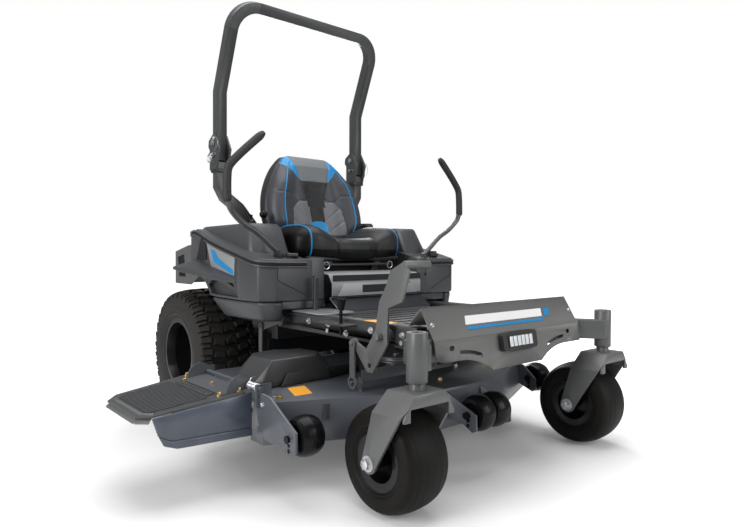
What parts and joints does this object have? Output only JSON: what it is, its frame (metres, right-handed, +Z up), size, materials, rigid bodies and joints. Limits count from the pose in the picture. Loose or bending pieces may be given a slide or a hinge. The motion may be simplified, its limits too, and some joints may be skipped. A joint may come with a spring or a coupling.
{
  "type": "zero turn mower",
  "caption": "Ride-on zero turn lawn mower with mid-mounted side-discharge deck, swivelling front casters, twin steering levers, folding roll bar, padded seat and foot-operated deck lift.",
  "frame": {"origin": "on the ground under the middle of the rear axle", "axes": "+Z up, the front of the machine towards -Y, +X the operator's left"},
  "size_m": [1.8511, 2.097, 2],
  "materials": {
    "frame_paint": "satin charcoal",
    "nose_paint": "satin warm grey",
    "lamp_housing": "black with a clear lens",
    "floor_paint": "textured black",
    "base_paint": "satin light grey",
    "plate_steel": "brushed",
    "pod_plastic": "fine grained",
    "black_plastic": "matte",
    "rops_paint": "satin dark charcoal",
    "engine_alloy": "cast",
    "shroud_plastic": "matte",
    "muffler_metal": "heat-proof paint",
    "guard_paint": "satin",
    "transaxle_alloy": "painted cast",
    "zinc_steel": "zinc plated",
    "rim_paint": "gloss black",
    "caster_rubber": "smooth",
    "drive_rubber": "block tread",
    "lever_paint": "satin",
    "grip_foam": "closed foam",
    "deck_paint": "satin blue grey",
    "cover_plastic": "fine grained",
    "chute_rubber": "ribbed",
    "hinge_paint": "satin",
    "roller_plastic": "gloss",
    "blade_steel": "dull",
    "black_paint": "satin black",
    "seat_vinyl": "dark slate vinyl",
    "knob_plastic": "gloss black"
  },
  "bodies": {
    "chassis": {"main_frame": "frame_paint", "front_axle": "frame_paint", "nose_cover": "nose_paint", "work_light": "lamp_housing", "floor_pan": "floor_paint", "seat_base_panel": "base_paint", "index_plate": "plate_steel", "pod_right": "pod_plastic", "pod_left": "pod_plastic", "fuel_caps": "black_plastic", "rops_legs": "rops_paint", "engine_block": "engine_alloy", "engine_shroud": "shroud_plastic", "muffler": "muffler_metal", "engine_guard": "guard_paint", "transaxles": "transaxle_alloy", "caster_bearings": "zinc_steel", "frame_bolts": "zinc_steel"},
    "roll_hoop": {"rops_hoop": "rops_paint"},
    "lock_pin_right": {"rops_pin_right": "zinc_steel"},
    "caster_right_swivel": {"caster_fork_right": "frame_paint"},
    "caster_right_wheel": {"caster_rim_right": "rim_paint", "caster_tyre_right": "caster_rubber"},
    "drive_wheel_right": {"drive_rim_right": "rim_paint", "drive_tyre_right": "drive_rubber"},
    "lever_yoke_right": {"lever_base_right": "lever_paint"},
    "lever_arm_right": {"lever_tube_right": "lever_paint", "lever_grip_right": "grip_foam"},
    "lock_pin_left": {"rops_pin_left": "zinc_steel"},
    "caster_left_swivel": {"caster_fork_left": "frame_paint"},
    "caster_left_wheel": {"caster_rim_left": "rim_paint", "caster_tyre_left": "caster_rubber"},
    "drive_wheel_left": {"drive_rim_left": "rim_paint", "drive_tyre_left": "drive_rubber"},
    "lever_yoke_left": {"lever_base_left": "lever_paint"},
    "lever_arm_left": {"lever_tube_left": "lever_paint", "lever_grip_left": "grip_foam"},
    "deck": {"deck_shell": "deck_paint", "belt_covers": "cover_plastic"},
    "lift_pedal_body": {"lift_pedal": "frame_paint"},
    "rear_lift": {"rear_lift_shaft": "frame_paint"},
    "front_links": {"front_lift_links": "frame_paint"},
    "rear_links": {"rear_lift_links": "frame_paint"},
    "chute_flap": {"chute_hinge": "hinge_paint", "chute": "chute_rubber"},
    "deck_roller_right": {"roller_right": "roller_plastic"},
    "deck_roller_left": {"roller_left": "roller_plastic"},
    "deck_roller_centre": {"roller_centre": "roller_plastic"},
    "spindle_right": {"blade_right": "blade_steel"},
    "spindle_centre": {"blade_centre": "blade_steel"},
    "spindle_left": {"blade_left": "blade_steel"},
    "clutch": {"crank_pulley": "black_paint"},
    "seat_base": {"seat_plate": "black_paint"},
    "seat": {"seat_shell": "black_plastic", "seat_cushion": "seat_vinyl", "seat_back": "seat_vinyl"},
    "throttle": {"throttle_lever": "knob_plastic"},
    "brake": {"brake_lever": "knob_plastic"},
    "height_stop": {"height_pin": "black_plastic"},
    "transport_lock": {"lock_knob": "knob_plastic"}
  },
  "joints": [
    {"name": "hoop_fold", "type": "hinge", "parent": "chassis", "child": "roll_hoop", "pos_m": [0, -0.033, 1.32], "axis": [-1, 0, 0], "range_deg": [0, 100]},
    {"name": "lock_pin_right_pull", "type": "slide", "parent": "chassis", "child": "lock_pin_right", "axis": [-1, 0, 0], "range_m": [0, 0.07]},
    {"name": "caster_right_turn", "type": "hinge", "parent": "chassis", "child": "caster_right_swivel", "pos_m": [-0.532, -1.522, 0.4], "axis": [0, 0, 1], "continuous": true},
    {"name": "caster_right_roll", "type": "hinge", "parent": "caster_right_swivel", "child": "caster_right_wheel", "pos_m": [-0.532, -1.427, 0.165], "axis": [1, 0, 0], "continuous": true},
    {"name": "drive_right_roll", "type": "hinge", "parent": "chassis", "child": "drive_wheel_right", "pos_m": [-0.495, 0, 0.305], "axis": [1, 0, 0], "continuous": true},
    {"name": "lever_right_push", "type": "hinge", "parent": "chassis", "child": "lever_yoke_right", "pos_m": [-0.422, -0.6, 0.72], "axis": [1, 0, 0], "range_deg": [-14, 22], "stiffness_Nm_per_rad": 20},
    {"name": "lever_right_swing", "type": "hinge", "parent": "lever_yoke_right", "child": "lever_arm_right", "pos_m": [-0.422, -0.6, 0.772], "axis": [0, 1, 0], "range_deg": [0, 35]},
    {"name": "lock_pin_left_pull", "type": "slide", "parent": "chassis", "child": "lock_pin_left", "axis": [1, 0, 0], "range_m": [0, 0.07]},
    {"name": "caster_left_turn", "type": "hinge", "parent": "chassis", "child": "caster_left_swivel", "pos_m": [0.532, -1.522, 0.4], "axis": [0, 0, 1], "continuous": true},
    {"name": "caster_left_roll", "type": "hinge", "parent": "caster_left_swivel", "child": "caster_left_wheel", "pos_m": [0.532, -1.427, 0.165], "axis": [1, 0, 0], "continuous": true},
    {"name": "drive_left_roll", "type": "hinge", "parent": "chassis", "child": "drive_wheel_left", "pos_m": [0.495, 0, 0.305], "axis": [1, 0, 0], "continuous": true},
    {"name": "lever_left_push", "type": "hinge", "parent": "chassis", "child": "lever_yoke_left", "pos_m": [0.422, -0.6, 0.72], "axis": [1, 0, 0], "range_deg": [-14, 22], "stiffness_Nm_per_rad": 20},
    {"name": "lever_left_swing", "type": "hinge", "parent": "lever_yoke_left", "child": "lever_arm_left", "pos_m": [0.422, -0.6, 0.772], "axis": [0, -1, 0], "range_deg": [0, 35]},
    {"name": "deck_raise", "type": "slide", "parent": "chassis", "child": "deck", "axis": [0, 0, 1], "range_m": [-0.0647, 0]},
    {"name": "pedal_push", "type": "hinge", "parent": "chassis", "child": "lift_pedal_body", "pos_m": [0, -1.274, 0.508], "axis": [1, 0, 0], "range_deg": [-35, 0]},
    {"name": "rear_lift_turn", "type": "hinge", "parent": "chassis", "child": "rear_lift", "pos_m": [0, -0.64, 0.508], "axis": [1, 0, 0], "range_deg": [-35, 0]},
    {"name": "front_link_turn", "type": "hinge", "parent": "lift_pedal_body", "child": "front_links", "pos_m": [0, -1.133, 0.468], "axis": [1, 0, 0], "range_deg": [0, 56]},
    {"name": "rear_link_turn", "type": "hinge", "parent": "rear_lift", "child": "rear_links", "pos_m": [0, -0.499, 0.468], "axis": [1, 0, 0], "range_deg": [0, 56]},
    {"name": "chute_lift", "type": "hinge", "parent": "deck", "child": "chute_flap", "pos_m": [-0.8, -0.85, 0.35], "axis": [0, 1, 0], "range_deg": [0, 95]},
    {"name": "roller_right_roll", "type": "hinge", "parent": "deck", "child": "deck_roller_right", "pos_m": [-0.738, -1.245, 0.226], "axis": [1, 0, 0], "continuous": true},
    {"name": "roller_left_roll", "type": "hinge", "parent": "deck", "child": "deck_roller_left", "pos_m": [0.552, -1.19, 0.226], "axis": [1, 0, 0], "continuous": true},
    {"name": "roller_centre_roll", "type": "hinge", "parent": "deck", "child": "deck_roller_centre", "pos_m": [-0.087, -1.418, 0.226], "axis": [1, 0, 0], "continuous": true},
    {"name": "spindle_right_spin", "type": "hinge", "parent": "deck", "child": "spindle_right", "pos_m": [-0.54, -0.8, 0.19], "axis": [0, 0, 1], "continuous": true},
    {"name": "spindle_centre_spin", "type": "hinge", "parent": "deck", "child": "spindle_centre", "pos_m": [-0.09, -0.95, 0.19], "axis": [0, 0, 1], "continuous": true},
    {"name": "spindle_left_spin", "type": "hinge", "parent": "deck", "child": "spindle_left", "pos_m": [0.36, -0.8, 0.19], "axis": [0, 0, 1], "continuous": true},
    {"name": "clutch_spin", "type": "hinge", "parent": "chassis", "child": "clutch", "pos_m": [0, 0.18, 0.36], "axis": [0, 0, 1], "continuous": true},
    {"name": "seat_tip", "type": "hinge", "parent": "chassis", "child": "seat_base", "pos_m": [0, -0.566, 0.731], "axis": [-1, 0, 0], "range_deg": [-50, 0]},
    {"name": "seat_slide", "type": "slide", "parent": "seat_base", "child": "seat", "axis": [0, -1, 0], "range_m": [-0.06, 0.05]},
    {"name": "throttle_turn", "type": "hinge", "parent": "chassis", "child": "throttle", "pos_m": [-0.404, -0.3, 0.926], "axis": [1, 0, 0], "range_deg": [-25, 25]},
    {"name": "brake_turn", "type": "hinge", "parent": "chassis", "child": "brake", "pos_m": [-0.3235, -0.287, 0.752], "axis": [-1, 0, 0], "range_deg": [-35, 0]},
    {"name": "height_stop_pull", "type": "slide", "parent": "chassis", "child": "height_stop", "axis": [0, 0, 1], "range_m": [0, 0.05]},
    {"name": "transport_lock_pull", "type": "slide", "parent": "chassis", "child": "transport_lock", "axis": [0, 0, 1], "range_m": [0, 0.02], "stiffness_N_per_m": 400}
  ],
  "couplings": [
    {"joint": "pedal_push", "follows": "deck_raise", "rad_per_m": 9.4385},
    {"joint": "rear_lift_turn", "follows": "deck_raise", "rad_per_m": 9.4385},
    {"joint": "front_link_turn", "follows": "deck_raise", "rad_per_m": -15.066},
    {"joint": "rear_link_turn", "follows": "deck_raise", "rad_per_m": -15.066},
    {"joint": "spindle_right_spin", "follows": "spindle_centre_spin", "ratio": 1},
    {"joint": "spindle_left_spin", "follows": "spindle_centre_spin", "ratio": 1},
    {"joint": "clutch_spin", "follows": "spindle_centre_spin", "ratio": 0.9333}
  ]
}
